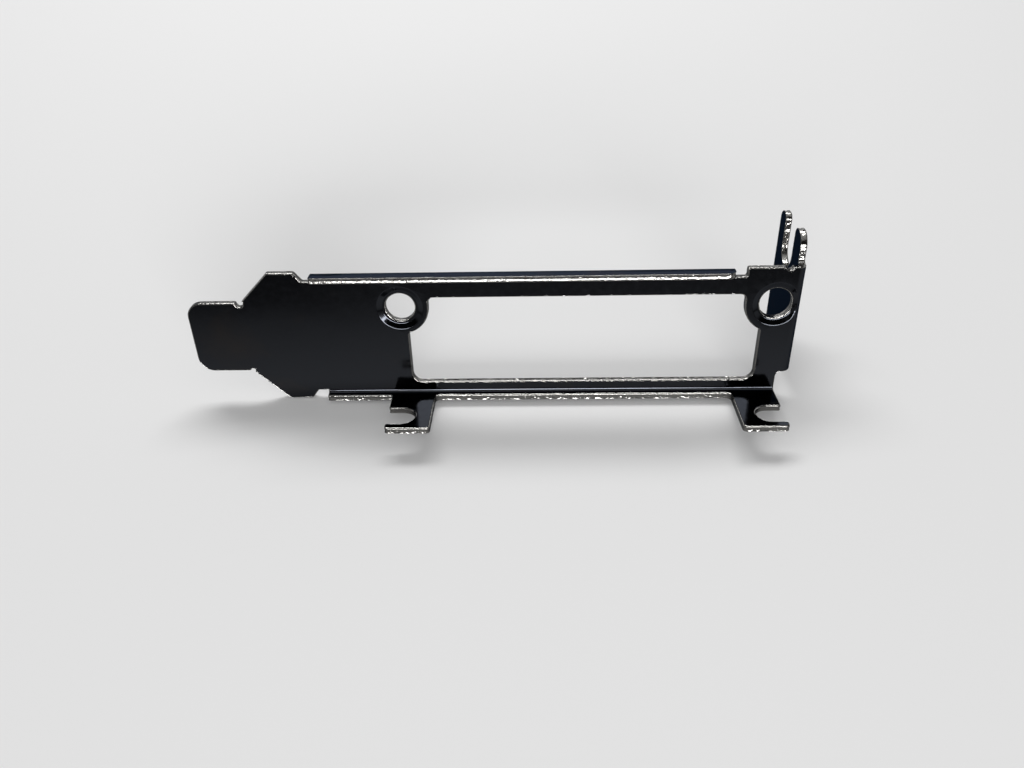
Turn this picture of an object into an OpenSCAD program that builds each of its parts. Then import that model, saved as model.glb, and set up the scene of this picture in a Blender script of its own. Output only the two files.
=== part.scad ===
// Low-profile expansion card bracket, folded from one sheet of black nickel plated steel.
// It is drawn flat side to flat side in its own frame, then laid down as it rests:
//   x runs from the tip of the tongue to the outer face of the screw tab,
//   y runs from the card side (minus) to the back, with the face of the body at 0,
//   z runs across the body, from its card edge at 0 to its plain edge.
// All sizes are in millimetres.

/* [Sheet] */
// Thickness of the steel
thickness = 0.86; // [0.7:0.02:1.0]
// Inside radius of every bend
bend_radius = 0.35; // [0.2:0.05:0.6]

/* [Body] */
// Length over the tongue and the screw tab
length = 79.2; // [76:0.1:84]
// Width across the body
width = 18.42; // [17.6:0.02:19.6]
// Distance from the tongue's tip to the square shoulders
shoulder_x = 11.3; // [10.5:0.1:12.5]
// Length of the square shoulders along the edges
shoulder_flat = 3.4; // [2.8:0.1:4]

/* [Tongue] */
// Width of the tongue
tongue_width = 10; // [9:0.05:10.4]
// Distance of the tongue's upper edge from the plain edge
tongue_inset = 4.07; // [3.8:0.01:4.6]
// Radius of the tongue's corners
tongue_radius = 2; // [1:0.1:3]
// Depth of the nick where the tongue meets the upper shoulder
nick_depth = 0.6; // [0.3:0.05:0.9]
// Length of that nick
nick_length = 1; // [0.8:0.1:1.6]

/* [Stiffening lips] */
// Reach of the plain edge's lip in front of the face
lip_reach = 1.7; // [1.3:0.1:2.4]
// Reach of the card edge's lip in front of the face
card_lip_reach = 0.9; // [0.7:0.05:1.2]
// Gap along the edge between a shoulder and the lip beside it
relief_gap = 2.3; // [1.8:0.1:3]
// Width of the square corner between the plain edge's lip and the screw tab
corner_width = 7.37; // [6.8:0.01:8]
// Gap between that corner and the lip
corner_gap = 1.68; // [1.2:0.02:2.2]

/* [Connector window] */
// Distance from the tongue's tip to the window
window_x = 28.8; // [27:0.1:31]
// Width of the column between the window and the screw tab's outer face
column_width = 4.9; // [4.4:0.1:6]
// Width of the strip between the window and the card edge
card_strip = 2.38; // [2:0.02:3]
// Width of the strip between the window and the plain edge
plain_strip = 3.6; // [3:0.05:4.2]
// Radius of the window's lower corners
window_radius = 1.3; // [0.6:0.1:2]
// Radius of the window's upper corners
window_top_radius = 0.75; // [0.3:0.05:1]

/* [Jackscrew holes] */
// Distance from the tongue's tip to the first hole
hole_x = 27.9; // [27:0.1:29]
// Distance from the second hole to the screw tab's outer face
hole_end = 3.25; // [3.15:0.05:3.6]
// Distance from the holes to the plain edge
hole_edge = 5; // [4.8:0.05:5.4]
// Diameter of the first hole
hole_d = 3.8; // [3:0.1:4.4]
// Diameter of the second hole
hole_2_d = 4.1; // [3:0.1:4.4]
// Diameter of the dish pressed round each hole
dish_d = 6; // [5.6:0.1:6.2]
// Depth of the dish
dish_depth = 0.35; // [0.2:0.05:0.5]
// Diameter of the metal left round the first hole where it stands into the window
eye_d = 7.4; // [7:0.1:8]
// Diameter of the metal left round the second hole
eye_2_d = 7.9; // [7.4:0.1:8.4]

/* [Card tabs] */
// Distance from the tongue's tip to the first tab
tab_x = 25.9; // [24:0.1:28]
// Distance from the second tab's outer edge to the screw tab's outer face
tab_end = 1.92; // [1.8:0.02:2.4]
// Width of each tab
tab_width = 5.85; // [5.2:0.05:7]
// Reach of the tabs in front of the face
tab_reach = 8.93; // [8.5:0.01:10]
// Distance from the face to the middle of the notches
notch_y = 5.97; // [5.6:0.01:6.3]
// Width of the notches
notch_width = 3.7; // [3:0.1:4.2]
// Depth of the notches from the tab's edge
notch_depth = 3.7; // [3:0.02:4.4]

/* [Screw tab] */
// Depth of the screw tab behind the face
screw_tab_depth = 11.43; // [11:0.01:12.4]
// Distance of its lower edge from the card edge
screw_tab_bottom = 3.5; // [3:0.1:4]
// Height of its two ears above the plain edge
ear_height = 3.68; // [3:0.02:5]
// Width of the screw slot
slot_width = 4.42; // [3.6:0.02:4.8]
// Distance from the face to the middle of the slot
slot_y = 6.86; // [6.4:0.02:7.2]
// Distance of the slot's round end from the plain edge, to its centre
slot_centre_drop = 0.42; // [0:0.02:1]
// Distance from the face to the front edge of the near ear
ear_y = 1.7; // [1.6:0.05:2]
// Radius of the near ear's front corner
ear_radius = 1.9; // [1:0.1:2.2]
// Radius of the far ear's back corner
far_ear_radius = 1.1; // [0.6:0.1:1.6]
// Radius of the ears' corners at the slot
slot_lip_radius = 0.9; // [0.3:0.1:1.1]
// Radius of the tab's lower corner, on which the bracket leans
foot_radius = 0.8; // [0.4:0.1:1.2]

/* [Hidden] */
$fn = 96;
eps = 0.02;

outer_radius = thickness + bend_radius;
bend_overlap = 0.1;
bend_run = bend_radius + bend_overlap;

// Along the body
lip_x = shoulder_x + shoulder_flat + relief_gap;
relief_ramp = 0.95;
shoulder_offset = 0.2;
lip_end = length - corner_width - corner_gap;
body_end = length - outer_radius;
card_edge_end = length - tab_end;
tab_2_x = card_edge_end - tab_width;
window_end = length - column_width;

// Across the body
tongue_top = width - tongue_inset;
tongue_bottom = tongue_top - tongue_width;
lower_root_x = shoulder_x + shoulder_offset - tongue_bottom;
hole_z = width - hole_edge;
window_bottom = card_strip;
window_top = width - plain_strip;
ear_top = width + ear_height;
slot_z = width - slot_centre_drop;

// Small radii of the press tool
small_nick = 0.25;
tab_radius = 0.5;
tab_fillet = 0.8;
eye_fillet = 0.4;
relief_radius = 0.3;
corner_fillet = 1.1;
lip_end_radius = 1;
bend_nick_radius = 0.4;
dish_slope = 0.65;

// The lean: the sheet's back edge and the screw tab's rounded corner touch the table together
foot_y = screw_tab_depth - foot_radius;
foot_z = screw_tab_bottom + foot_radius;
foot_run = foot_y - thickness;
foot_distance = sqrt(foot_run * foot_run + foot_z * foot_z);
lean = atan2(foot_z, foot_run) - asin(foot_radius / foot_distance);

// The reach of the leaning bracket along Y and below z = 0, which centres it on its footprint
rest_front = -tab_reach * cos(lean);
far_ear_y = screw_tab_depth - far_ear_radius;
far_ear_z = ear_top - far_ear_radius;
rest_back = far_ear_y * cos(lean) + far_ear_z * sin(lean) + far_ear_radius;
rest_middle = (rest_front + rest_back) / 2;
rest_lift = thickness * sin(lean);

// What lies between a square corner at the origin and the quarter circle that rounds it
module spandrel(r) {
    difference() {
        translate([-eps, -eps]) square(r + eps);
        translate([r, r]) circle(r);
    }
}

// A spandrel at a corner whose sides run at angle and angle + 90 degrees
module corner(x, y, angle, r) {
    translate([x, y]) rotate(angle) spandrel(r);
}

// A flat piece of the sheet, drawn in x and z, with its front on the face of the body
module upright_sheet() {
    translate([0, thickness, 0]) rotate([90, 0, 0]) linear_extrude(thickness) children();
}

// The section of a bend and the start of the sheet on either side of it, with the point
// where its two outer faces would meet at the origin
module bend_section() {
    leg = outer_radius + bend_overlap;
    difference() {
        union() {
            translate([-leg, 0]) square([leg, thickness]);
            translate([-thickness, 0]) square([thickness, leg]);
        }
        corner(0, 0, 90, outer_radius);
    }
    corner(-thickness, thickness, 90, bend_radius);
}

// The bend along the card edge, whose outer faces lie on y = thickness and z = 0
module card_edge_bend(from, to) {
    translate([from, thickness, 0]) rotate([90, 0, 90]) linear_extrude(to - from) bend_section();
}

// Turns what is drawn for the card edge over to the plain edge
module plain_edge() {
    translate([0, 0, width]) mirror([0, 0, 1]) children();
}

module tongue_outline() {
    difference() {
        translate([0, tongue_bottom]) square([shoulder_x, tongue_width]);
        corner(0, tongue_bottom, 0, tongue_radius);
        corner(0, tongue_top, -90, tongue_radius);
    }
}

// The body up to the lines where the lips and the screw tab start to bend
module body_outline() {
    ramp_x = shoulder_x + shoulder_flat;
    polygon([
        [lower_root_x, tongue_bottom],
        [shoulder_x + shoulder_offset, 0],
        [ramp_x, 0],
        [ramp_x + relief_ramp, outer_radius],
        [card_edge_end, outer_radius],
        [card_edge_end, screw_tab_bottom],
        [body_end, screw_tab_bottom],
        [body_end, width],
        [length - corner_width, width],
        [length - corner_width, width - outer_radius],
        [ramp_x + relief_ramp, width - outer_radius],
        [ramp_x, width],
        [shoulder_x, width],
        [shoulder_x - tongue_inset, tongue_top]
    ]);
    corner(length - corner_width, width - outer_radius, 90, relief_radius);
    corner(card_edge_end, screw_tab_bottom, -90, min(corner_fillet, body_end - card_edge_end));
}

// The nick is cut square to the tongue's edge, with a round floor
module tongue_nick_outline() {
    nick_end = shoulder_x - tongue_inset + nick_length / 3;
    hull_r = nick_length / 2;
    translate([nick_end - hull_r, tongue_top - nick_depth + hull_r]) circle(hull_r);
    translate([nick_end - nick_length, tongue_top - nick_depth + hull_r]) square([nick_length, width]);
    translate([lower_root_x, tongue_bottom]) circle(small_nick);
}

module window_outline() {
    difference() {
        translate([window_x, window_bottom])
            square([window_end - window_x, window_top - window_bottom]);
        corner(window_x, window_bottom, 0, window_radius);
        corner(window_end, window_bottom, 90, window_radius);
        for (side = [0, 1]) eye_outline(side);
    }
}

// The metal round a hole, carried up to the window's top with a small round corner
module eye_outline(side) {
    x = side == 0 ? hole_x : length - hole_end;
    reach = (side == 0 ? eye_d : eye_2_d) / 2;
    edge = side == 0 ? x + reach : x - reach;
    translate([x, hole_z]) circle(reach);
    translate([x - reach, hole_z]) square([2 * reach, width]);
    corner(edge, window_top, side == 0 ? -90 : 180, window_top_radius);
    if (side == 0) eye_root(x, reach, window_x, 1);
    else eye_root(x, reach, window_end, -1);
}

// The small round where that metal runs into the window's side at x = edge
module eye_root(x, reach, edge, direction) {
    run = edge + direction * eye_fillet - x;
    drop = sqrt((reach + eye_fillet) * (reach + eye_fillet) - run * run);
    share = reach / (reach + eye_fillet);
    difference() {
        polygon([
            [edge - direction * eps, hole_z],
            [edge - direction * eps, hole_z - drop],
            [x + run, hole_z - drop],
            [x + run * share, hole_z - drop * share]
        ]);
        translate([x + run, hole_z - drop]) circle(eye_fillet + eps / 5);
    }
}

module bend_nick_outline() {
    translate([body_end - bend_nick_radius * 2.5, width]) circle(bend_nick_radius);
}

// The flat of the body with everything that is punched through it
module body_sheet() {
    upright_sheet() difference() {
        union() {
            tongue_outline();
            body_outline();
        }
        tongue_nick_outline();
        window_outline();
        bend_nick_outline();
    }
}

// The dish is pressed back through the sheet, so it is hollow in front and proud behind
module dish_boss(x) {
    translate([x, thickness - eps, hole_z]) rotate([-90, 0, 0])
        cylinder(h = dish_depth + eps, d1 = dish_d, d2 = dish_d - 2 * dish_slope);
}

module dish_hollow(x, d) {
    translate([x, -eps, hole_z]) rotate([-90, 0, 0])
        cylinder(h = dish_depth + eps, d1 = dish_d, d2 = dish_d - 2 * dish_slope);
    translate([x, -thickness, hole_z]) rotate([-90, 0, 0]) cylinder(h = 4 * thickness, d = d);
}

// The short lip that stiffens the plain edge, with its end rounded towards the corner
module plain_lip() {
    plain_edge() {
        card_edge_bend(lip_x, lip_end);
        linear_extrude(thickness) difference() {
            translate([lip_x, -lip_reach]) square([lip_end - lip_x, lip_reach - bend_radius]);
            corner(lip_end, -lip_reach, 90, min(lip_end_radius, lip_reach - bend_run));
            corner(lip_x, -lip_reach, 0, relief_radius);
        }
    }
}

module notch_outline(edge, direction) {
    r = notch_width / 2;
    x = edge + direction * (notch_depth - r);
    translate([x, -notch_y]) circle(r);
    translate([min(x, edge - direction * eps), -notch_y - r])
        square([notch_depth - r + eps, notch_width]);
}

module tab_outline(from) {
    difference() {
        translate([from, -tab_reach]) square([tab_width, tab_reach - bend_radius]);
        corner(from, -tab_reach, 0, tab_radius);
        corner(from + tab_width, -tab_reach, 90, tab_radius);
    }
}

// The card edge's lip and the two tabs that the card is screwed to, all in one plane
module card_flange() {
    card_edge_bend(lip_x, card_edge_end);
    linear_extrude(thickness) difference() {
        union() {
            translate([lip_x, -card_lip_reach])
                square([card_edge_end - lip_x, card_lip_reach - bend_radius]);
            tab_outline(tab_x);
            tab_outline(tab_2_x);
            corner(tab_x + tab_width, -card_lip_reach, -90, tab_fillet);
            corner(tab_2_x, -card_lip_reach, 180, tab_fillet);
        }
        corner(lip_x, -card_lip_reach, 0, min(relief_radius, card_lip_reach - bend_run));
        notch_outline(tab_x, 1);
        notch_outline(card_edge_end, -1);
    }
}

// The screw tab's shape in y and z: a tall plate with an open slot between two ears
module screw_tab_outline() {
    difference() {
        translate([outer_radius, screw_tab_bottom])
            square([screw_tab_depth - outer_radius, ear_top - screw_tab_bottom]);
        translate([outer_radius - eps, width]) square([ear_y - outer_radius + eps, 2 * ear_height]);
        translate([slot_y, slot_z]) circle(d = slot_width);
        translate([slot_y - slot_width / 2, slot_z]) square([slot_width, 2 * ear_height]);
        corner(ear_y, ear_top, -90, ear_radius);
        corner(slot_y - slot_width / 2, ear_top, 180, slot_lip_radius);
        corner(slot_y + slot_width / 2, ear_top, -90, slot_lip_radius);
        corner(screw_tab_depth, ear_top, 180, far_ear_radius);
        corner(screw_tab_depth, screw_tab_bottom, 90, foot_radius);
    }
    corner(ear_y, width, 90, ear_y - outer_radius);
}

// The screw tab and the bend that carries it, turned away from the card
module screw_tab() {
    translate([length, 0, screw_tab_bottom])
        linear_extrude(width - screw_tab_bottom) bend_section();
    translate([length - thickness, 0, 0]) rotate([90, 0, 90])
        linear_extrude(thickness) screw_tab_outline();
}

module folded_sheet() {
    difference() {
        union() {
            body_sheet();
            screw_tab();
            dish_boss(hole_x);
            dish_boss(length - hole_end);
        }
        dish_hollow(hole_x, hole_d);
        dish_hollow(length - hole_end, hole_2_d);
    }
    plain_lip();
    card_flange();
}

// Leans the sheet back on its screw tab and puts the origin under the middle of its box
module at_rest() {
    translate([-length / 2, -rest_middle, rest_lift]) rotate([-lean, 0, 0]) children();
}

module bracket() {
    color("#1b1f28") at_rest() folded_sheet();
}

bracket();
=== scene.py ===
import math

import bmesh
import bpy
from bpy.props import FloatProperty, FloatVectorProperty, IntProperty, PointerProperty
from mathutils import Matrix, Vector


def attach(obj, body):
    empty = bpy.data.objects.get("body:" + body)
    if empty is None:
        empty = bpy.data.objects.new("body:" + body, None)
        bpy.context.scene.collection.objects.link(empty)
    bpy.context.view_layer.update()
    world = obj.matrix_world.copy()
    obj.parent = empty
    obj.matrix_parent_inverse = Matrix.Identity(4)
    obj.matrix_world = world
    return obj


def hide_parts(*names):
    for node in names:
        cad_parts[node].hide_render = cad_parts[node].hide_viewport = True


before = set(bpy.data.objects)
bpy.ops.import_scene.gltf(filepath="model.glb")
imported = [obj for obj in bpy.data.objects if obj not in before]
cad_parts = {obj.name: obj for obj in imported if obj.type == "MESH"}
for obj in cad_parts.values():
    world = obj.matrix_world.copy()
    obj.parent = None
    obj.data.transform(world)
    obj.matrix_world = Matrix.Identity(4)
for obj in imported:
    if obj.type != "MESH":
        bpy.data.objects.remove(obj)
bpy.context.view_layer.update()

bl_info = {
    "name": "Expansion Card Bracket",
    "version": (1, 0, 0),
    "blender": (4, 5, 0),
    "location": "3D View > Sidebar > Bracket",
    "description": "A low-profile expansion card bracket, folded from black nickel plated sheet steel",
    "category": "Object",
}

MM = 0.001
NEAR = 2e-6  # metres between points that count as one
STRAIGHT = 1e-6  # radians of turn that count as none
DISH_STEPS = 64  # faces round a dish
RIM_STEPS = 5  # faces across the rolled edge
BURR_STEPS = 3  # faces across the other edge
FACE_WEIGHT = 60  # how much the large faces lead the shading of the small ones
NODE = "bracket"


def size(label, note, millimetres):
    """A length that a user may change, given here in millimetres."""
    return FloatProperty(name=label, description=note, default=millimetres * MM, min=0.0, unit="LENGTH", precision=5)


def turn(label, note, degrees):
    """An angle that a user may change, given here in degrees."""
    return FloatProperty(name=label, description=note, default=math.radians(degrees), subtype="ANGLE", unit="ROTATION")


def share(label, note, value, top=1.0):
    """A plain number from 0 up."""
    return FloatProperty(name=label, description=note, default=value, min=0.0, max=top)


def colour(label, note, value):
    """A linear colour."""
    return FloatVectorProperty(name=label, description=note, default=value, size=3, min=0.0, max=1.0, subtype="COLOR")


class BracketSheet(bpy.types.PropertyGroup):
    thickness: size("Thickness", "Thickness of the steel", 0.86)
    bend_radius: size("Bend radius", "Inside radius of every bend", 0.35)
    bend_steps: IntProperty(name="Bend steps", description="Faces round each bend", default=12, min=3, max=24)
    bend_width: size("Bend width", "Width of flat sheet that each bend takes up", 1.2)
    die_roll: size("Die roll", "Radius of the rounded edge on the punched side", 0.18)
    burr_round: size("Burr rounding", "Radius of the other edge after tumbling", 0.06)
    shear_end: size("Shear depth", "Depth at which the bright shear band of a cut edge ends", 0.34)
    groove_at: size("Groove place", "Depth of the lowest line of the torn band of a cut edge", 0.44)
    groove: size("Groove", "How far the torn band lies back", 0.08)


class BracketBody(bpy.types.PropertyGroup):
    length: size("Length", "Length over the tongue and the screw tab", 79.2)
    width: size("Width", "Width across the body", 18.42)
    shoulder_x: size("Shoulder start", "From the tongue's tip to the square shoulders", 11.3)
    shoulder_flat: size("Shoulder length", "Length of the square shoulders along the edges", 3.4)
    shoulder_offset: size("Shoulder offset", "How much later the lower shoulder starts", 0.2)
    relief_gap: size("Relief gap", "Gap between a shoulder and the lip beside it", 2.3)
    relief_ramp: size("Relief ramp", "Length of the slope from a shoulder into the gap", 0.95)
    corner_width: size("Corner width", "Width of the square corner beside the screw tab", 7.37)
    corner_gap: size("Corner gap", "Gap between that corner and the lip", 1.68)
    lip_reach: size("Lip reach", "Reach of the plain edge's lip in front of the face", 1.7)
    card_lip_reach: size("Card lip reach", "Reach of the card edge's lip in front of the face", 0.9)
    lip_end_radius: size("Lip end radius", "Radius of the lip's end beside the corner", 1.0)
    corner_radius: size("Corner radius", "Radius of the shoulders' corners", 0.3)
    small_radius: size("Small radius", "Radius of the press tool's own corners", 0.25)
    corner_fillet: size("Corner fillet", "Radius under the screw tab", 0.71)
    bend_nick: size("Bend nick", "Radius of the nick over the screw tab's bend", 0.4)


class BracketTongue(bpy.types.PropertyGroup):
    width: size("Width", "Width of the tongue", 10.0)
    inset: size("Inset", "From the tongue's upper edge to the plain edge", 4.07)
    radius: size("Radius", "Radius of the tongue's corners", 2.0)
    nick_depth: size("Nick depth", "Depth of the nick at the upper shoulder", 0.6)
    nick_length: size("Nick length", "Length of that nick", 1.0)
    small_nick: size("Small nick", "Radius of the nick at the lower shoulder", 0.3)
    nick_ease: size("Nick ease", "Radius of the corners where a nick starts", 0.22)


class BracketWindow(bpy.types.PropertyGroup):
    start: size("Start", "From the tongue's tip to the window", 28.8)
    column: size("Column", "Between the window and the screw tab's outer face", 4.9)
    card_strip: size("Card strip", "Between the window and the card edge", 2.38)
    plain_strip: size("Plain strip", "Between the window and the plain edge", 3.6)
    radius: size("Lower radius", "Radius of the window's lower corners", 1.3)
    top_radius: size("Upper radius", "Radius of the window's upper corners", 0.75)
    eye_fillet: size("Eye fillet", "Radius where a hole's rim runs into the window's side", 0.4)


class BracketHoles(bpy.types.PropertyGroup):
    first: size("First hole", "From the tongue's tip to the first hole", 27.9)
    from_end: size("From end", "From the second hole to the screw tab's outer face", 3.25)
    from_edge: size("From edge", "From the holes to the plain edge", 5.0)
    first_size: size("First size", "Diameter of the first hole", 3.8)
    second_size: size("Second size", "Diameter of the second hole", 4.1)
    dish_size: size("Dish size", "Diameter of the dish round each hole", 6.0)
    dish_depth: size("Dish depth", "Depth of the dish", 0.35)
    dish_slope: size("Dish slope", "Run of the dish's sloping side", 0.65)
    dish_soft: size("Dish softness", "Radius that softens the dish's two edges", 0.3)
    first_eye: size("First rim", "Diameter of the metal left round the first hole", 7.4)
    second_eye: size("Second rim", "Diameter of the metal left round the second hole", 7.9)
    squeeze: share("Squeeze", "How much the screw tab's bend leaves of the dish that runs into it", 0.45)


class BracketTabs(bpy.types.PropertyGroup):
    first: size("First tab", "From the tongue's tip to the first tab", 25.9)
    from_end: size("From end", "From the second tab to the screw tab's outer face", 1.92)
    width: size("Width", "Width of each tab", 5.85)
    reach: size("Reach", "Reach of the tabs in front of the face", 8.93)
    notch_y: size("Notch place", "From the face to the middle of the notches", 5.97)
    notch_width: size("Notch width", "Width of the notches", 3.7)
    notch_depth: size("Notch depth", "Depth of the notches from the tab's edge", 3.7)
    radius: size("Radius", "Radius of the tabs' corners", 0.5)
    fillet: size("Fillet", "Radius where a tab grows out of the lip", 0.8)


class BracketScrewTab(bpy.types.PropertyGroup):
    depth: size("Depth", "Depth of the screw tab behind the face", 11.43)
    bottom: size("Bottom", "From its lower edge to the card edge", 3.5)
    ears: size("Ears", "Height of the ears above the plain edge", 3.68)
    slot_width: size("Slot width", "Width of the screw slot", 4.42)
    slot_y: size("Slot place", "From the face to the middle of the slot", 6.86)
    slot_drop: size("Slot drop", "From the plain edge to the centre of the slot's round end", 0.42)
    ear_y: size("Ear start", "From the face to the near ear", 1.7)
    ear_radius: size("Near ear radius", "Radius of the near ear's front corner", 1.9)
    far_radius: size("Far ear radius", "Radius of the far ear's back corner", 1.1)
    lip_radius: size("Slot lip radius", "Radius of the ears' corners at the slot", 0.9)
    foot_radius: size("Foot radius", "Radius of the lower corner that the bracket leans on", 0.8)


def active_edit(name):
    """Starts a new empty piece and enters edit mode on it."""
    if bpy.context.object and bpy.context.object.mode != "OBJECT":
        bpy.ops.object.mode_set(mode="OBJECT")
    bpy.ops.object.select_all(action="DESELECT")
    bpy.ops.mesh.primitive_plane_add(size=MM, location=(0, 0, 0))
    piece = bpy.context.object
    piece.name = piece.data.name = name
    bpy.ops.object.mode_set(mode="EDIT")
    bpy.ops.mesh.select_mode(type="VERT")
    bpy.ops.mesh.delete(type="VERT")
    return piece


def live():
    """The edit mode mesh of the piece in hand."""
    return bmesh.from_edit_mesh(bpy.context.edit_object.data)


def pick_points(test):
    """Selects the points whose place passes the test."""
    mesh = live()
    bpy.ops.mesh.select_mode(type="VERT")
    for point in mesh.verts:
        point.select = bool(test(point.co))
    mesh.select_flush_mode()
    bmesh.update_edit_mesh(bpy.context.edit_object.data)


def pick_faces(test):
    """Selects the faces that pass the test, which is given middle and normal."""
    mesh = live()
    bpy.ops.mesh.select_mode(type="FACE")
    mesh.normal_update()
    for face in mesh.faces:
        face.select_set(False)
    for face in mesh.faces:
        if test(face.calc_center_median(), face.normal):
            face.select_set(True)
    bmesh.update_edit_mesh(bpy.context.edit_object.data)


def go(way):
    """Pulls a new line or wall out of what is selected."""
    bpy.ops.mesh.extrude_region_move(TRANSFORM_OT_translate={"value": tuple(way)})


def swing(centre, axis, angle, steps):
    """Pulls what is selected round a centre, by the right-hand rule."""
    bpy.ops.mesh.spin(steps=steps, angle=-angle, center=tuple(centre), axis=tuple(axis))


def shift(way):
    """Moves what is selected."""
    bpy.ops.transform.translate(value=tuple(way))


def swivel(angle, axis, centre):
    """Turns what is selected about a centre, by the right-hand rule."""
    bpy.ops.transform.rotate(value=-angle, orient_axis=axis, center_override=tuple(centre))


def arc_steps(angle, radius):
    """Steps that keep an arc round, finer for larger radii."""
    degrees = 7.5 if radius > 0.3 * MM else 12.0
    return max(3, math.ceil(abs(math.degrees(angle)) / degrees))


def corner(x, z, radius=0.0):
    """A corner of an outline, rounded by a radius."""
    return ("corner", Vector((x, z)), radius)


def arc(cx, cz, radius, start, end):
    """An arc of an outline, from one angle to another in degrees."""
    return ("arc", Vector((cx, cz)), radius, math.radians(start), math.radians(end))


def relief(centre, radius, ease, way_in, way_out, out_in=0.0, out_out=0.0):
    """A round nick where two edges meet, with eased corners. The ways are the directions of the edges in degrees,
    and the last two say how far outside the nick's centre each edge passes."""

    def ease_centre(way, out, sign):
        along = Vector((math.cos(math.radians(way)), math.sin(math.radians(way))))
        inward = Vector((-along.y, along.x))
        run = math.sqrt((radius + ease) ** 2 - (ease - out) ** 2)
        return inward * (ease - out) + along * run * sign

    first, last = ease_centre(way_in, out_in, -1), ease_centre(way_out, out_out, 1)
    a, b = math.degrees(math.atan2(first.y, first.x)), math.degrees(math.atan2(last.y, last.x))
    middle = Vector(centre)
    return [
        ccw(middle + first, ease, way_in - 90, a + 180),
        cw(middle, radius, a, b),
        ccw(middle + last, ease, b + 180, way_out - 90),
    ]


def ccw(centre, radius, start, end):
    """An arc that turns left, by less than a full turn."""
    return arc(centre[0], centre[1], radius, start, start + (end - start) % 360)


def cw(centre, radius, start, end):
    """An arc that turns right, by less than a full turn."""
    return arc(centre[0], centre[1], radius, start, start - (start - end) % 360)


def polar(centre, radius, angle):
    return centre + radius * Vector((math.cos(angle), math.sin(angle)))


def entry(item):
    return item[1] if item[0] == "corner" else polar(item[1], item[2], item[3])


def exit_of(item):
    return item[1] if item[0] == "corner" else polar(item[1], item[2], item[4])


def strokes(items):
    """Turns the corners and arcs of a closed outline into straight lines and swings."""
    out = []
    count = len(items)
    for i, item in enumerate(items):
        if item[0] == "arc":
            out.append((entry(item), item[1], item[4] - item[3], item[2]))
            continue
        before, here, after = exit_of(items[i - 1]), item[1], entry(items[(i + 1) % count])
        inward, outward = (here - before).normalized(), (after - here).normalized()
        bend = math.atan2(inward.x * outward.y - inward.y * outward.x, inward.dot(outward))
        if item[2] < NEAR or abs(bend) < STRAIGHT:
            out.append((here, None, 0.0, 0.0))
            continue
        back = item[2] * math.tan(abs(bend) / 2)
        first = here - inward * back
        side = Vector((-inward.y, inward.x)) * math.copysign(item[2], bend)
        out.append((first, first + side, bend, item[2]))
    return out


class Board:
    """A flat drawing board in space, with its own right and up."""

    def __init__(self, origin, right, up):
        self.origin, self.right, self.up = Vector(origin), Vector(right), Vector(up)
        self.axis = self.right.cross(self.up)

    def way(self, step):
        return self.right * step.x + self.up * step.y

    def at(self, point):
        return self.origin + self.way(point)


def draw(items, board, closed=True):
    """Draws an outline as lines and arcs. An open one starts and ends at its first and last corner."""
    at = None
    for first, centre, bend, radius in strokes(items):
        if at is None:
            bpy.ops.mesh.primitive_plane_add(size=MM, location=board.at(first))
            bpy.ops.mesh.merge(type="CENTER")
            start = first
        elif (first - at).length > NEAR:
            go(board.way(first - at))
        at = first
        if centre is not None:
            swing(board.at(centre), board.axis, bend, arc_steps(bend, radius))
            arm, c, s = first - centre, math.cos(bend), math.sin(bend)
            at = centre + Vector((arm.x * c - arm.y * s, arm.x * s + arm.y * c))
    if closed and (start - at).length > NEAR:
        go(board.way(start - at))


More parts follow.
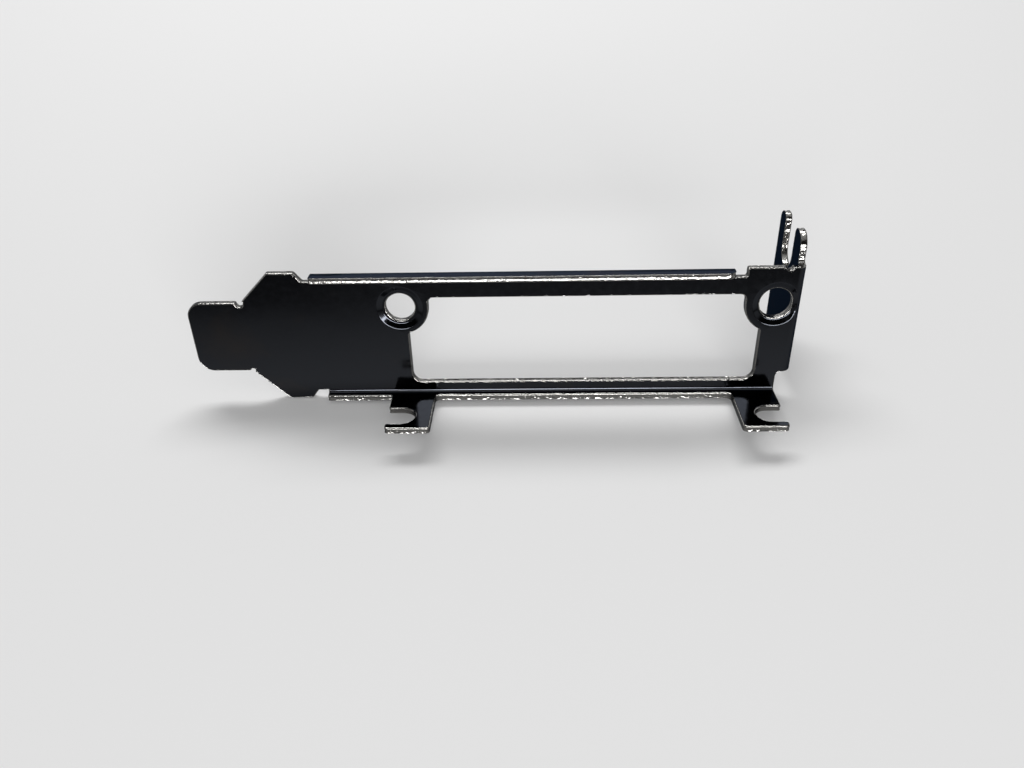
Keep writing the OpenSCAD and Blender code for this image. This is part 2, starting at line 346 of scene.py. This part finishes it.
class Layout:
    """The places that follow from the sizes, on the flat sheet before it is folded."""

    def __init__(self, scene):
        self.sheet, self.body = scene.bracket_sheet, scene.bracket_body
        self.tongue, self.window = scene.bracket_tongue, scene.bracket_window
        self.holes, self.tabs, self.screw = scene.bracket_holes, scene.bracket_tabs, scene.bracket_screw_tab
        sheet, body = self.sheet, self.body
        self.outer = sheet.thickness + sheet.bend_radius
        self.low_bend = self.outer
        self.high_bend = body.width - self.outer
        self.end_bend = body.length - self.outer
        self.spare = sheet.bend_width - sheet.bend_radius
        self.lip_x = body.shoulder_x + body.shoulder_flat + body.relief_gap
        self.lip_end = body.length - body.corner_width - body.corner_gap
        self.corner_x = body.length - body.corner_width
        self.ramp_x = body.shoulder_x + body.shoulder_flat
        self.card_end = body.length - self.tabs.from_end
        self.tab_2 = self.card_end - self.tabs.width
        self.tongue_top = body.width - self.tongue.inset
        self.tongue_bottom = self.tongue_top - self.tongue.width
        self.hole_z = body.width - self.holes.from_edge
        self.hole_x = (self.holes.first, body.length - self.holes.from_end)
        self.hole_r = (self.holes.first_size / 2, self.holes.second_size / 2)
        self.eye_r = (self.holes.first_eye / 2, self.holes.second_eye / 2)
        self.dish_tilt = math.atan2(self.holes.dish_depth, self.holes.dish_slope)
        self.disc_r = self.holes.dish_size / 2 + self.holes.dish_soft * math.tan(self.dish_tilt / 2)

    def from_hole(self, at, side):
        """How far a point lies from a hole's axis."""
        return math.hypot(at.x - self.hole_x[side], at.z - self.hole_z)

    def below(self, reach):
        """Height on the flat sheet of what reaches that far in front, under the card edge."""
        return self.low_bend - self.spare - reach

    def above(self, reach):
        """The same over the plain edge."""
        return self.high_bend + self.spare + reach

    def beyond(self, depth):
        """Place on the flat sheet of what lies that deep on the screw tab."""
        return self.end_bend + self.sheet.bend_width + depth - self.outer

    def tongue_edge(self):
        t, b = self.tongue, self.body
        r = t.nick_length / 2
        shoulder = b.shoulder_x - t.inset
        nick = (shoulder + t.nick_length / 3 - r, self.tongue_top - t.nick_depth + r)
        past = (nick[0] - nick[1] - shoulder + self.tongue_top) / math.sqrt(2)
        root = (b.shoulder_x + b.shoulder_offset - self.tongue_bottom, self.tongue_bottom)
        return [
            *relief(nick, r, t.nick_ease, 225, 180, past, self.tongue_top - nick[1]),
            corner(0, self.tongue_top, t.radius),
            corner(0, self.tongue_bottom, t.radius),
            *relief(root, t.small_nick, t.nick_ease, 0, -45),
        ]

    def card_edge(self):
        b, t = self.body, self.tabs
        lip, end = self.below(b.card_lip_reach), self.below(t.reach)
        r = t.notch_width / 2
        middle = self.below(t.notch_y)
        first_notch = t.first + t.notch_depth - r
        second_notch = self.card_end - t.notch_depth + r
        return [
            corner(b.shoulder_x + b.shoulder_offset, 0, b.corner_radius),
            corner(self.ramp_x, 0, b.corner_radius),
            corner(self.ramp_x + b.relief_ramp, self.low_bend, b.small_radius),
            corner(self.lip_x, self.low_bend, b.small_radius),
            corner(self.lip_x, lip, b.small_radius),
            corner(t.first, lip, b.small_radius),
            corner(t.first, middle + r, b.small_radius),
            arc(first_notch, middle, r, 90, -90),
            corner(t.first, middle - r, b.small_radius),
            corner(t.first, end, t.radius),
            corner(t.first + t.width, end, t.radius),
            corner(t.first + t.width, lip, t.fillet),
            corner(self.tab_2, lip, t.fillet),
            corner(self.tab_2, end, t.radius),
            corner(self.card_end, end, t.radius),
            corner(self.card_end, middle - r, b.small_radius),
            arc(second_notch, middle, r, 270, 90),
            corner(self.card_end, middle + r, b.small_radius),
        ]

    def screw_edge(self):
        s, b = self.screw, self.body
        top, r = b.width + s.ears, s.slot_width / 2
        slot_x, slot_z = self.beyond(s.slot_y), b.width - s.slot_drop
        nick_x = self.end_bend - 2.5 * b.bend_nick
        return [
            corner(self.card_end, s.bottom, b.corner_fillet),
            corner(self.beyond(s.depth), s.bottom, s.foot_radius),
            corner(self.beyond(s.depth), top, s.far_radius),
            corner(slot_x + r, top, s.lip_radius),
            arc(slot_x, slot_z, r, 0, -180),
            corner(slot_x - r, top, s.lip_radius),
            corner(self.beyond(s.ear_y), top, s.ear_radius),
            corner(self.beyond(s.ear_y), b.width, s.ear_y - self.outer),
            *relief((nick_x, b.width), b.bend_nick, self.tongue.nick_ease, 180, 180),
        ]

    def plain_edge(self):
        b = self.body
        lip = self.above(b.lip_reach)
        return [
            corner(self.corner_x, b.width, b.small_radius),
            corner(self.corner_x, self.high_bend, b.corner_radius),
            corner(self.lip_end, self.high_bend, b.small_radius),
            corner(self.lip_end, lip, b.lip_end_radius),
            corner(self.lip_x, lip, b.corner_radius),
            corner(self.lip_x, self.high_bend, b.small_radius),
            corner(self.ramp_x + b.relief_ramp, self.high_bend, b.small_radius),
            corner(self.ramp_x, b.width, b.corner_radius),
            corner(b.shoulder_x, b.width, b.corner_radius),
        ]

    def window_edge(self):
        w, b = self.window, self.body
        low, high = w.card_strip, b.width - w.plain_strip
        left, right = w.start, b.length - w.column
        out = [corner(left, low, w.radius), corner(right, low, w.radius)]
        for side in (1, 0):
            x, reach = self.hole_x[side], self.eye_r[side]
            edge, way = (left, 1) if side == 0 else (right, -1)
            run = edge + way * w.eye_fillet - x
            drop = math.sqrt((reach + w.eye_fillet) ** 2 - run ** 2)
            toward = math.degrees(math.atan2(drop, -run))
            fillet = (edge + way * w.eye_fillet, self.hole_z - drop, w.eye_fillet)
            if side == 1:
                out.append(arc(*fillet, 0, toward))
                out.append(arc(x, self.hole_z, reach, toward + 180, 180))
                out.append(corner(x - reach, high, w.top_radius))
            else:
                out.append(corner(x + reach, high, w.top_radius))
                out.append(arc(x, self.hole_z, reach, 0, toward - 180))
                out.append(arc(*fillet, toward, 180))
        return out


def fill_blank(layout):
    """The flat sheet at the foot of its rounded front edge, with each dish as a disc of its own."""
    board = Board((0, layout.sheet.die_roll, 0), (1, 0, 0), (0, 0, 1))
    draw(layout.tongue_edge() + layout.card_edge() + layout.screw_edge() + layout.plain_edge(), board)
    draw(layout.window_edge(), board)
    for x in layout.hole_x:
        bpy.ops.mesh.primitive_plane_add(size=MM, location=board.at(Vector((x + layout.disc_r, layout.hole_z))))
        bpy.ops.mesh.merge(type="CENTER")
        swing(board.at(Vector((x, layout.hole_z))), board.axis, 2 * math.pi, DISH_STEPS)
    bpy.ops.mesh.select_all(action="SELECT")
    bpy.ops.mesh.remove_doubles(threshold=NEAR)
    bpy.ops.mesh.fill(use_beauty=True)
    for side in (0, 1):
        pick_points(lambda at, side=side: abs(layout.from_hole(at, side) - layout.disc_r) < NEAR)
        bpy.ops.mesh.edge_face_add()
    bpy.ops.mesh.select_all(action="SELECT")
    bpy.ops.mesh.normals_make_consistent(inside=False)
    if sum(face.normal.y * face.calc_area() for face in live().faces) > 0:
        bpy.ops.mesh.flip_normals()


def ease_edge(radius, steps):
    """Rounds the rim of the flat face that is selected by small insets."""
    for k in range(steps):
        a, b = (math.pi / 2 * (k + i) / steps for i in (0, 1))
        bpy.ops.mesh.inset(
            thickness=radius * (math.cos(a) - math.cos(b)), depth=radius * (math.sin(b) - math.sin(a)),
            use_boundary=True, use_even_offset=True, use_relative_offset=False)


def crisp_border():
    """Marks the border of the flat face that is selected, so that the rounded edge doesn't shade into it."""
    bpy.ops.mesh.region_to_loop()
    bpy.ops.mesh.mark_sharp()


def mark_cut(layout):
    """Marks the points of the cut edges, where the steel is torn and the plating uneven; the mark also gives them a
    lighter colour that is partly thin plating and partly a painted highlight.
    """
    mesh = live()
    cut = mesh.verts.layers.float.new("cut")
    sheet, depth = layout.sheet, layout.holes.dish_depth
    for point in mesh.verts:
        away = [layout.from_hole(point.co, side) for side in (0, 1)]
        in_hole = any(gap < hole + sheet.die_roll for gap, hole in zip(away, layout.hole_r))
        in_dish = min(away) < layout.disc_r + NEAR
        front = depth if in_hole else 0.0
        if (in_hole or not in_dish) and front + NEAR < point.co.y < front + sheet.thickness - NEAR:
            point[cut] = 1.0
    bmesh.update_edit_mesh(bpy.context.edit_object.data)


def cut_edges(layout):
    """Gives the sheet its thickness, with the bright shear band and the torn band of a punched edge."""
    sheet = layout.sheet
    stations = [sheet.die_roll, sheet.shear_end, sheet.groove_at, sheet.thickness - sheet.burr_round]
    bpy.ops.mesh.select_all(action="SELECT")
    for a, b in zip(stations, stations[1:]):
        go((0, b - a, 0))
    bpy.ops.mesh.select_all(action="SELECT")
    bpy.ops.mesh.normals_make_consistent(inside=False)
    pick_points(lambda at: abs(at.y - sheet.groove_at) < NEAR)
    bpy.ops.transform.shrink_fatten(value=-sheet.groove, use_even_offset=True)
    pick_faces(lambda at, way: at.y > stations[-1] - NEAR)
    ease_edge(sheet.burr_round, BURR_STEPS)
    crisp_border()
    pick_faces(lambda at, way: at.y < stations[0] + NEAR)
    ease_edge(sheet.die_roll, RIM_STEPS)
    crisp_border()


def press_dish(layout, side):
    """Turns a dish with its hole, from its front edge through to its back edge."""
    h, sheet = layout.holes, layout.sheet
    x, hole, rim, depth = layout.hole_x[side], layout.hole_r[side], h.dish_size / 2, h.dish_depth
    foot, t = rim - h.dish_slope, sheet.thickness
    section = [
        corner(layout.disc_r, 0),
        corner(rim, 0, h.dish_soft),
        corner(foot, depth, h.dish_soft),
        corner(hole, depth, sheet.die_roll),
        corner(hole, depth + sheet.shear_end),
        corner(hole + sheet.groove, depth + sheet.groove_at),
        corner(hole, depth + t, sheet.burr_round),
        corner(foot, depth + t, h.dish_soft),
        corner(rim, t, h.dish_soft),
        corner(layout.disc_r, t),
    ]
    pick_faces(lambda at, way: on_axis(at, x, layout.hole_z))
    bpy.ops.mesh.delete(type="FACE")
    bpy.ops.mesh.select_mode(type="VERT")
    bpy.ops.mesh.select_all(action="SELECT")
    bpy.ops.mesh.hide()
    draw(section, Board((x, 0, layout.hole_z), (1, 0, 0), (0, 1, 0)), closed=False)
    bpy.ops.mesh.select_all(action="SELECT")
    swing((x, 0, layout.hole_z), (0, -1, 0), 2 * math.pi, DISH_STEPS)
    bpy.ops.mesh.select_all(action="SELECT")
    bpy.ops.mesh.remove_doubles(threshold=NEAR)
    bpy.ops.mesh.reveal()
    bpy.ops.mesh.select_all(action="SELECT")
    bpy.ops.mesh.remove_doubles(threshold=NEAR)


def on_axis(at, x, z):
    """Whether the middle of a face lies on a hole's axis."""
    return math.hypot(at.x - x, at.z - z) < 10 * NEAR


def squeeze_dish(layout):
    """Draws together the part of the second dish that the screw tab's bend takes up."""
    pick_points(lambda at: at.x > layout.end_bend + NEAR and layout.from_hole(at, 1) < layout.disc_r + NEAR)
    bpy.ops.transform.resize(value=(layout.holes.squeeze, 1, 1), center_override=(layout.end_bend, 0, 0))


def score_bends(layout, bends):
    """Cuts the lines across which the sheet is bent."""
    for start, way, *_ in bends:
        for i in range(layout.sheet.bend_steps + 1):
            bpy.ops.mesh.select_all(action="SELECT")
            at = Vector(start) + Vector(way) * (layout.sheet.bend_width * i / layout.sheet.bend_steps)
            bpy.ops.mesh.bisect(plane_co=at, plane_no=way)
    bpy.ops.mesh.select_all(action="SELECT")
    bpy.ops.mesh.remove_doubles(threshold=NEAR / 2)


def fold(layout, start, way, centre_y, axis, sign, inside):
    """Folds what lies beyond a line, one strip of the bend after another, from the far one back."""
    steps, way, start = layout.sheet.bend_steps, Vector(way), Vector(start)
    strip = layout.sheet.bend_width / steps
    places = [point.co.copy() for point in live().verts]
    passed = [
        math.floor((at - start).dot(way) / strip + 1.01) if inside(at) and (at - start).dot(way) > -NEAR else 0
        for at in places
    ]
    for i in range(steps, 0, -1):
        mesh = live()
        bpy.ops.mesh.select_mode(type="VERT")
        for point, level in zip(mesh.verts, passed):
            point.select = level > i
        mesh.select_flush_mode()
        shift(-way * strip)
        line = start + way * (strip * (i - 1))
        swivel(sign * math.pi / 2 / steps, axis, (line.x, centre_y, line.z))


def lay_down(layout):
    """Leans the bracket back on its screw tab and sets it in the middle of the CAD box."""
    sheet, s = layout.sheet, layout.screw
    run, rise = s.depth - s.foot_radius - sheet.thickness, s.bottom + s.foot_radius
    lean = math.atan2(rise, run) - math.asin(s.foot_radius / math.hypot(run, rise))
    back_y, back_z = s.depth - s.far_radius, layout.body.width + s.ears - s.far_radius
    back = back_y * math.cos(lean) + back_z * math.sin(lean) + s.far_radius
    middle = (back - layout.tabs.reach * math.cos(lean)) / 2
    bpy.ops.mesh.select_all(action="SELECT")
    swivel(-lean, "X", (0, 0, 0))
    shift((-layout.body.length / 2, -middle, sheet.thickness * math.sin(lean)))


# Depths of the plating's relief in metres: slow waves, fine waves, torn edges and specks
WAVE_DEPTH, PEEL_DEPTH, TEAR_DEPTH, SPECK_DEPTH = 0.00012, 0.000005, 0.00009, 0.000001
SPECKS, PATCHES = 6000.0, 160.0  # specks and patches of thin plating in a metre
# Place and size of each lamp in metres
BEHIND, BEHIND_SIZE = (-0.04, 0.27, 0.36), (0.42, 0.1)
IN_FRONT, IN_FRONT_SIZE = (0.05, -0.42, 0.15), (0.42, 0.11)
# Height and brightness of the bands of the surroundings in reflections: a pale wall, a dark band and a pale ceiling
WALL, BANDS = ((0.0, 0.9), (0.22, 0.9)), ((0.34, 0.06), (0.8, 0.06), (0.92, 0.6), (1.0, 0.6))
NEAR_SIDE = (-0.6, 0.3, 0.12, 1.0)  # from where to where, and from what to what, the surroundings brighten away
FLOOR_REFLECTION_SHADE = (-0.15, 0.03, 1.0, 0.6)  # the same for the painted shade: how much the floor's colour darkens in reflections only
BACKDROP = 0.85  # brightness of the surroundings as seen


class BracketFinish(bpy.types.PropertyGroup):
    base: colour("Plating", "Colour of the black nickel", (0.075, 0.08, 0.092))
    worn: colour("Thin plating", "Warmer colour where the plating is thin", (0.13, 0.105, 0.085))
    edge: colour("Edge", "Colour of the plating seen along its surface", (0.3, 0.32, 0.36))
    # Cut edge colour: lighter than the plating, partly for thin plating on torn steel and partly as a painted
    # highlight that makes the edges read bright
    cut: colour("Cut edge", "Colour of the plating on the punched edges", (0.46, 0.45, 0.43))
    roughness: share("Roughness", "How blurred the plating's reflections are", 0.1)
    peel: size("Peel", "Size of the fine waves in the plating", 0.7)
    wave: size("Wave", "Size of the slow waves left by the press", 9.0)
    tear: size("Tear", "Size of the unevenness of the torn edges", 0.55)


class BracketStage(bpy.types.PropertyGroup):
    floor: colour("Floor", "Colour of the floor", (0.8, 0.8, 0.8))
    ambient: share("Ambient", "Strength of the light from all round", 0.3, 10.0)
    key: share("Key light", "Power of the softbox behind, in watts", 1.35, 100.0)
    front: share("Front light", "Power of the softbox in front, in watts", 1.35, 100.0)
    eye: FloatVectorProperty(name="Camera place", description="Where the camera stands", size=3,
                             default=(6.02 * MM, -74.17 * MM, 87.03 * MM), subtype="TRANSLATION", unit="LENGTH")
    tilt: turn("Camera tilt", "Angle of the camera up from straight down", 39.545)
    roll: turn("Camera roll", "Angle of the camera about its view", 1.692)
    pan: turn("Camera pan", "Angle of the camera about the vertical", 0.822)
    lens: FloatProperty(name="Lens", description="Focal length in millimetres", default=28.6, min=1.0)


def new_material(name):
    """A node material with only its shader and output."""
    material = bpy.data.materials.new(name)
    material.use_nodes = True
    tree = material.node_tree
    tree.nodes.clear()
    shader = tree.nodes.new("ShaderNodeBsdfPrincipled")
    output = tree.nodes.new("ShaderNodeOutputMaterial")
    tree.links.new(shader.outputs["BSDF"], output.inputs["Surface"])
    return material, tree, shader


def noise(tree, place, scale, detail=2.0, distortion=0.0):
    """A noise in the piece's own coordinates, with that many bumps a metre."""
    node = tree.nodes.new("ShaderNodeTexNoise")
    node.inputs["Scale"].default_value = scale
    node.inputs["Detail"].default_value = detail
    node.inputs["Distortion"].default_value = distortion
    tree.links.new(place, node.inputs["Vector"])
    return node.outputs["Fac"]


def ramp(tree, value, low, high, start, end):
    """Maps a value from one span to another and holds it there."""
    node = tree.nodes.new("ShaderNodeMapRange")
    for name, number in (("From Min", low), ("From Max", high), ("To Min", start), ("To Max", end)):
        node.inputs[name].default_value = number
    tree.links.new(value, node.inputs["Value"])
    return node.outputs["Result"]


def blend(tree, share_of, first, second):
    """Mixes two colours."""
    node = tree.nodes.new("ShaderNodeMix")
    node.data_type = "RGBA"
    node.inputs["A"].default_value = (*first, 1.0)
    node.inputs["B"].default_value = (*second, 1.0)
    tree.links.new(share_of, node.inputs["Factor"])
    return node.outputs["Result"]


def bump(tree, height, distance, strength, under=None):
    """A relief of that depth in metres, laid over another."""
    node = tree.nodes.new("ShaderNodeBump")
    node.inputs["Distance"].default_value = distance
    node.inputs["Strength"].default_value = strength
    tree.links.new(height, node.inputs["Height"])
    if under is not None:
        tree.links.new(under, node.inputs["Normal"])
    return node.outputs["Normal"]


def black_nickel(finish):
    """Bright black nickel over rolled and punched steel."""
    material, tree, shader = new_material("black_nickel_plate")
    place = tree.nodes.new("ShaderNodeTexCoord").outputs["Object"]
    slow = noise(tree, place, 1 / finish.wave, 1.0)
    peel = noise(tree, place, 1 / finish.peel, 3.0)
    specks = noise(tree, place, SPECKS, 2.0)
    tint = ramp(tree, noise(tree, place, PATCHES, 3.0, 0.4), 0.6, 0.85, 0.0, 0.4)
    cut = tree.nodes.new("ShaderNodeAttribute")
    cut.attribute_name = "cut"
    flat = blend(tree, tint, finish.base, finish.worn)
    # The cut edges take the lighter cut colour: partly thin plating, partly a painted highlight
    punched = tree.nodes.new("ShaderNodeMix")
    punched.data_type = "RGBA"
    tree.links.new(cut.outputs["Fac"], punched.inputs["Factor"])
    tree.links.new(flat, punched.inputs["A"])
    punched.inputs["B"].default_value = (*finish.cut, 1.0)
    tree.links.new(punched.outputs["Result"], shader.inputs["Base Color"])
    shader.inputs["Metallic"].default_value = 1.0
    rough = ramp(tree, peel, 0.3, 0.75, finish.roughness * 0.75, finish.roughness * 1.5)
    tree.links.new(rough, shader.inputs["Roughness"])
    shader.inputs["Specular Tint"].default_value = (*finish.edge, 1.0)
    relief_1 = bump(tree, slow, WAVE_DEPTH, 0.4)
    relief_2 = bump(tree, peel, PEEL_DEPTH, 0.5, relief_1)
    torn = tree.nodes.new("ShaderNodeMath")
    torn.operation = "MULTIPLY"
    tree.links.new(noise(tree, place, 1 / finish.tear, 2.0, 0.6), torn.inputs[0])
    tree.links.new(cut.outputs["Fac"], torn.inputs[1])
    relief_3 = bump(tree, torn.outputs["Value"], TEAR_DEPTH, 1.0, relief_2)
    tree.links.new(bump(tree, specks, SPECK_DEPTH, 0.5, relief_3), shader.inputs["Normal"])
    return material


class MakePlatedBracket(bpy.types.Operator):
    """Draws the blank, gives it its cut edges and dishes, folds it and lays it down"""

    bl_idname = "bracket.make_plated_bracket"
    bl_label = "Make the plated bracket"

    def execute(self, context):
        layout = Layout(context.scene)
        piece = active_edit("plated_bracket")
        fill_blank(layout)
        cut_edges(layout)
        for side in (0, 1):
            press_dish(layout, side)
        mark_cut(layout)
        squeeze_dish(layout)
        front, back = -layout.sheet.bend_radius, layout.outer
        gap = (layout.ramp_x + layout.body.relief_ramp + layout.lip_x) / 2
        bends = [
            ((0, 0, layout.low_bend), (0, 0, -1), front, "X", -1, lambda at: at.x > gap),
            ((0, 0, layout.high_bend), (0, 0, 1), front, "X", 1,
             lambda at: gap < at.x < (layout.lip_end + layout.corner_x) / 2),
            ((layout.end_bend, 0, 0), (1, 0, 0), back, "Z", 1, lambda at: True),
        ]
        score_bends(layout, bends)
        for bend in bends:
            fold(layout, *bend)
        lay_down(layout)
        bpy.ops.mesh.select_all(action="SELECT")
        bpy.ops.mesh.normals_make_consistent(inside=False)
        bpy.ops.object.mode_set(mode="OBJECT")
        bpy.ops.object.shade_smooth()
        bpy.ops.object.modifier_add(type="WEIGHTED_NORMAL")
        piece.modifiers[-1].weight = FACE_WEIGHT
        piece.modifiers[-1].keep_sharp = True
        bpy.ops.object.modifier_apply(modifier=piece.modifiers[-1].name)
        piece.data.materials.append(black_nickel(context.scene.bracket_finish))
        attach(piece, "root")
        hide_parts(NODE)
        return {"FINISHED"}


def softbox(name, power, place, wide, deep):
    """A soft lamp that faces the middle of the bracket."""
    bpy.ops.object.light_add(type="AREA", location=place)
    lamp = bpy.context.object
    lamp.name = lamp.data.name = name
    lamp.data.shape, lamp.data.size, lamp.data.size_y, lamp.data.energy = "RECTANGLE", wide, deep, power
    lamp.visible_camera = False
    lamp.rotation_euler = (-Vector(place)).to_track_quat("-Z", "Y").to_euler()
    return lamp


def floor_material(stage):
    """A plain pale floor. Only in reflections its colour darkens towards the near side, a painted shade in place of a
    flag.
    """
    material, tree, shader = new_material("pale_floor")
    rays = tree.nodes.new("ShaderNodeLightPath")
    place = tree.nodes.new("ShaderNodeTexCoord").outputs["Object"]
    split = tree.nodes.new("ShaderNodeSeparateXYZ")
    tree.links.new(place, split.inputs["Vector"])
    # Painted shade: glossy rays see the floor's colour darkened towards the near side
    far = ramp(tree, split.outputs["Y"], *FLOOR_REFLECTION_SHADE)
    painted_shade_gate = tree.nodes.new("ShaderNodeMath")
    painted_shade_gate.operation = "MULTIPLY"
    tree.links.new(rays.outputs["Is Glossy Ray"], painted_shade_gate.inputs[0])
    tree.links.new(far, painted_shade_gate.inputs[1])
    tree.links.new(blend(tree, painted_shade_gate.outputs["Value"], stage.floor, (0.0, 0.0, 0.0)), shader.inputs["Base Color"])
    shader.inputs["Roughness"].default_value = 0.9
    shader.inputs["Specular IOR Level"].default_value = 0.1
    return material


class MakeStage(bpy.types.Operator):
    """Makes the floor, the soft lamps, the pale surroundings and the camera"""

    bl_idname = "bracket.make_stage"
    bl_label = "Make the stage"

    def execute(self, context):
        stage, scene = context.scene.bracket_stage, context.scene
        bpy.ops.object.select_all(action="DESELECT")
        bpy.ops.mesh.primitive_plane_add(size=4.0, location=(0, 0, 0))
        floor = context.object
        floor.name = floor.data.name = "floor"
        floor.data.materials.append(floor_material(stage))
        softbox("softbox_behind", stage.key, BEHIND, *BEHIND_SIZE)
        softbox("softbox_in_front", stage.front, IN_FRONT, *IN_FRONT_SIZE)
        world = bpy.data.worlds.new("studio")
        scene.world = world
        world.use_nodes = True
        tree = world.node_tree
        tree.nodes.clear()
        rays = tree.nodes.new("ShaderNodeLightPath")
        way = tree.nodes.new("ShaderNodeTexCoord").outputs["Generated"]
        split = tree.nodes.new("ShaderNodeSeparateXYZ")
        tree.links.new(way, split.inputs["Vector"])
        rise = tree.nodes.new("ShaderNodeValToRGB")
        stops = rise.color_ramp.elements
        for stop, (place, level) in zip(stops, WALL):
            stop.position, stop.color = place, (level, level, level, 1)
        for place, level in BANDS:
            stops.new(place).color = (level, level, level, 1)
        tree.links.new(split.outputs["Z"], rise.inputs["Fac"])
        lights = [tree.nodes.new("ShaderNodeBackground") for _ in range(3)]
        plain, glossy, seen = lights
        plain.inputs["Strength"].default_value = stage.ambient
        glossy.inputs["Strength"].default_value = 1.0
        tree.links.new(rise.outputs["Color"], glossy.inputs["Color"])
        tree.links.new(ramp(tree, split.outputs["Y"], *NEAR_SIDE), glossy.inputs["Strength"])
        plain.inputs["Color"].default_value = seen.inputs["Color"].default_value = (1, 1, 1, 1)
        seen.inputs["Strength"].default_value = BACKDROP
        mixes = [tree.nodes.new("ShaderNodeMixShader") for _ in range(2)]
        output = tree.nodes.new("ShaderNodeOutputWorld")
        tree.links.new(rays.outputs["Is Glossy Ray"], mixes[0].inputs["Fac"])
        tree.links.new(plain.outputs[0], mixes[0].inputs[1])
        tree.links.new(glossy.outputs[0], mixes[0].inputs[2])
        tree.links.new(rays.outputs["Is Camera Ray"], mixes[1].inputs["Fac"])
        tree.links.new(mixes[0].outputs[0], mixes[1].inputs[1])
        tree.links.new(seen.outputs[0], mixes[1].inputs[2])
        tree.links.new(mixes[1].outputs[0], output.inputs["Surface"])
        bpy.ops.object.camera_add(location=stage.eye, rotation=(stage.tilt, stage.roll, stage.pan))
        camera = context.object
        camera.name = camera.data.name = "camera"
        camera.data.lens, camera.data.sensor_width = stage.lens, 36.0
        camera.data.clip_start = MM
        scene.camera = camera
        scene.view_settings.view_transform = "Standard"
        return {"FINISHED"}


class BracketPanel(bpy.types.Panel):
    """Lists the sizes, the finish and the steps of the bracket"""

    bl_idname = "VIEW3D_PT_bracket"
    bl_label = "Bracket"
    bl_space_type = "VIEW_3D"
    bl_region_type = "UI"
    bl_category = "Bracket"

    def draw(self, context):
        for group in GROUPS:
            box = self.layout.box()
            box.label(text=group.replace("_", " "))
            settings = getattr(context.scene, group)
            for name in settings.bl_rna.properties.keys():
                if name not in ("rna_type", "name"):
                    box.prop(settings, name)
        self.layout.operator(MakePlatedBracket.bl_idname)
        self.layout.operator(MakeStage.bl_idname)


GROUPS = {
    "bracket_sheet": BracketSheet, "bracket_body": BracketBody, "bracket_tongue": BracketTongue,
    "bracket_window": BracketWindow, "bracket_holes": BracketHoles, "bracket_tabs": BracketTabs,
    "bracket_screw_tab": BracketScrewTab, "bracket_finish": BracketFinish, "bracket_stage": BracketStage,
}
CLASSES = [*GROUPS.values(), MakePlatedBracket, MakeStage, BracketPanel]


def register():
    for cls in CLASSES:
        bpy.utils.register_class(cls)
    for name, group in GROUPS.items():
        setattr(bpy.types.Scene, name, PointerProperty(type=group))


def unregister():
    for name in GROUPS:
        delattr(bpy.types.Scene, name)
    for cls in reversed(CLASSES):
        bpy.utils.unregister_class(cls)


def main():
    register()
    bpy.ops.bracket.make_plated_bracket()
    bpy.ops.bracket.make_stage()


if __name__ == "__main__":
    main()
